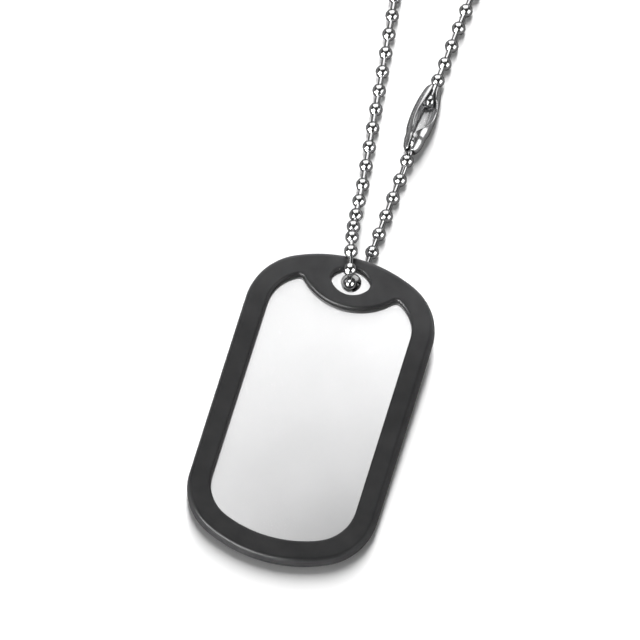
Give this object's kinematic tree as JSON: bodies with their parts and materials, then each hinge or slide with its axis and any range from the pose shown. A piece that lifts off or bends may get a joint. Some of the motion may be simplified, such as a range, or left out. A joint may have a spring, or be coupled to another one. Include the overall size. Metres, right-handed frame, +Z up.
{
  "type": "dog tag on a ball chain",
  "caption": "Rounded steel dog tag in a black rubber rim, threaded on a closed ball chain with a barrel connector, lying flat.",
  "frame": {"origin": "middle of the whole part's footprint, on the surface it lies on", "axes": "+Y along the tag's long axis, from the tag towards its chain; +Z up, out of the tag's front face; +X to the right of the tag seen from above"},
  "size_m": [0.1214, 0.3096, 0.0078],
  "materials": {
    "plate_steel": "mirror-polished stainless sheet",
    "rim_rubber": "matt charcoal silicone",
    "chain_steel": "bright polished stainless beads",
    "connector_steel": "bright folded sheet"
  },
  "bodies": {
    "root": {"tag_plate": "plate_steel", "rubber_rim": "rim_rubber", "ball_chain": "chain_steel", "chain_connector": "connector_steel"}
  },
  "joints": []
}
